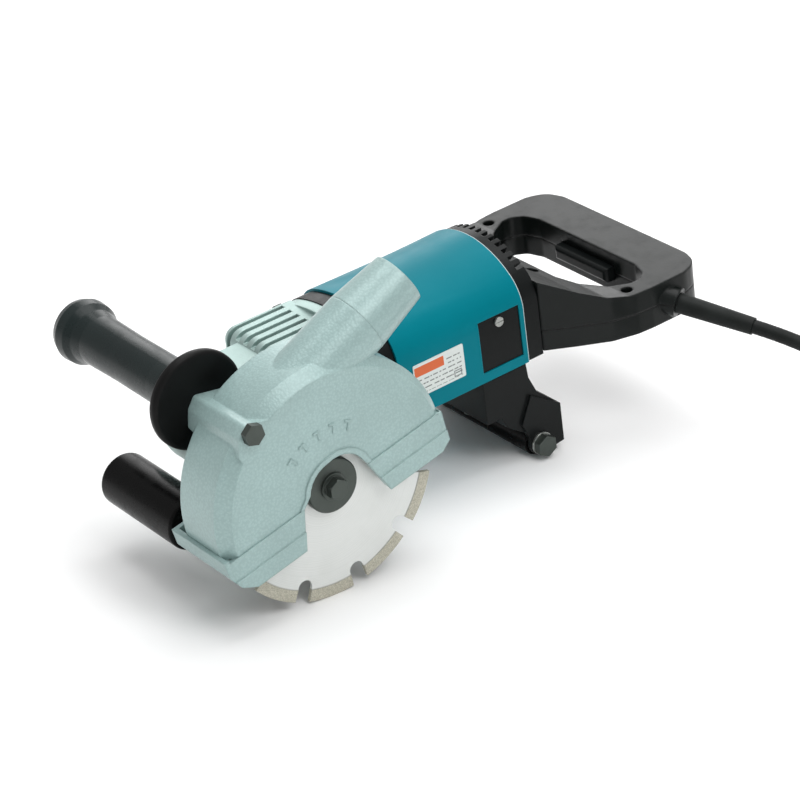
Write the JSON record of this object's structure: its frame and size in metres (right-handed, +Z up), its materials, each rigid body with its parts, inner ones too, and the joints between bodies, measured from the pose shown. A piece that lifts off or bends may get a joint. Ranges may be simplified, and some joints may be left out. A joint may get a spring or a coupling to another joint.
{
  "type": "wall chaser",
  "caption": "Electric wall chaser: motor with rear loop handle and side grip, adjustable cast guard round twin diamond blades, dust spigot, guide rollers and mains cord.",
  "frame": {"origin": "on the floor, at the middle of the tool's footprint (cord and plug left out)", "axes": "+X along the blade spindle, outwards to the blade side; +Y backwards along the motor towards the rear handle; +Z up"},
  "size_m": [0.4542, 0.4616, 0.1956],
  "materials": {
    "teal_plastic": "satin",
    "black_plastic": "fine satin texture",
    "roller_plastic": "smooth",
    "soft_rubber": "matt",
    "hammered_paint": "hammered enamel on cast alloy",
    "cast_head": "sand cast",
    "blade_steel": "ground",
    "bright_steel": "zinc plated",
    "dark_steel": "blackened",
    "core_steel": "laminated",
    "copper_winding": "enamelled copper",
    "brass": "plain",
    "carbon": "matt",
    "label_white": "printed film"
  },
  "bodies": {
    "tool": {"bearing_box": "cast_head", "bearing_box_screws": "dark_steel", "brush_cover_screws": "bright_steel", "brush_covers": "black_plastic", "brush_holders": "brass", "brush_springs": "bright_steel", "carbon_brushes": "carbon", "cord_coil": "soft_rubber", "cord_gland": "soft_rubber", "cord_tube": "soft_rubber", "fan_ring": "black_plastic", "field_coils": "copper_winding", "foot_screws": "dark_steel", "front_motor_bearing": "bright_steel", "gear_housing": "cast_head", "handle_lower": "black_plastic", "handle_screws": "bright_steel", "handle_upper": "black_plastic", "housing_screws": "dark_steel", "inner_spindle_bearing": "bright_steel", "label_plate": "label_white", "motor_housing": "teal_plastic", "outer_spindle_bearing": "bright_steel", "plug": "soft_rubber", "rear_bolt": "bright_steel", "rear_cover": "black_plastic", "rear_foot": "black_plastic", "rear_motor_bearing": "bright_steel", "rear_nut": "bright_steel", "rear_vent_ring": "black_plastic", "rear_washers": "bright_steel", "stator_core": "core_steel", "switch_body": "black_plastic"},
    "cutter": {"spindle": "bright_steel", "bevel_gear": "dark_steel", "blade_rear": "blade_steel", "blade_front": "blade_steel", "inner_flange": "dark_steel", "blade_spacers": "dark_steel", "outer_flange": "dark_steel", "clamp_bolt": "bright_steel"},
    "armature": {"armature_core": "core_steel", "armature_shaft": "bright_steel", "commutator": "copper_winding", "cooling_fan": "black_plastic", "pinion": "dark_steel"},
    "guard": {"guard_cover": "hammered_paint", "guard_back": "hammered_paint", "collar_screw": "dark_steel", "base_shoe": "hammered_paint", "dust_nozzle": "hammered_paint", "grip_bolt": "dark_steel", "grip_stud": "dark_steel", "grip_flange": "soft_rubber", "side_grip": "black_plastic", "front_roller_shaft": "bright_steel"},
    "front_wheel": {"front_roller": "roller_plastic"},
    "rear_wheel": {"rear_roller": "roller_plastic"},
    "trigger_body": {"trigger": "black_plastic"},
    "lock_body": {"lock_button": "black_plastic"}
  },
  "joints": [
    {"name": "spindle_spin", "type": "hinge", "parent": "tool", "child": "cutter", "pos_m": [-0.02487, -0.11623, 0.075], "axis": [1, 0, 0], "continuous": true},
    {"name": "armature_spin", "type": "hinge", "parent": "tool", "child": "armature", "pos_m": [-0.02487, -0.11623, 0.075], "axis": [0, 0.9954, 0.096], "continuous": true},
    {"name": "guard_depth", "type": "hinge", "parent": "tool", "child": "guard", "pos_m": [-0.02487, -0.11623, 0.075], "axis": [1, 0, 0], "range_deg": [-29, 21]},
    {"name": "front_roller_spin", "type": "hinge", "parent": "guard", "child": "front_wheel", "pos_m": [-0.02487, -0.17355, 0.04411], "axis": [1, 0, 0], "continuous": true},
    {"name": "rear_roller_spin", "type": "hinge", "parent": "tool", "child": "rear_wheel", "pos_m": [-0.02487, 0.08598, 0.0096], "axis": [1, 0, 0], "continuous": true},
    {"name": "trigger_pull", "type": "slide", "parent": "tool", "child": "trigger_body", "axis": [0, 0.9954, 0.096], "range_m": [0, 0.005], "stiffness_N_per_m": 1200},
    {"name": "lock_press", "type": "slide", "parent": "tool", "child": "lock_body", "axis": [0, -0.096, 0.9954], "range_m": [0, 0.0025], "stiffness_N_per_m": 1500}
  ],
  "couplings": [
    {"joint": "armature_spin", "follows": "spindle_spin", "ratio": 3.3333}
  ]
}
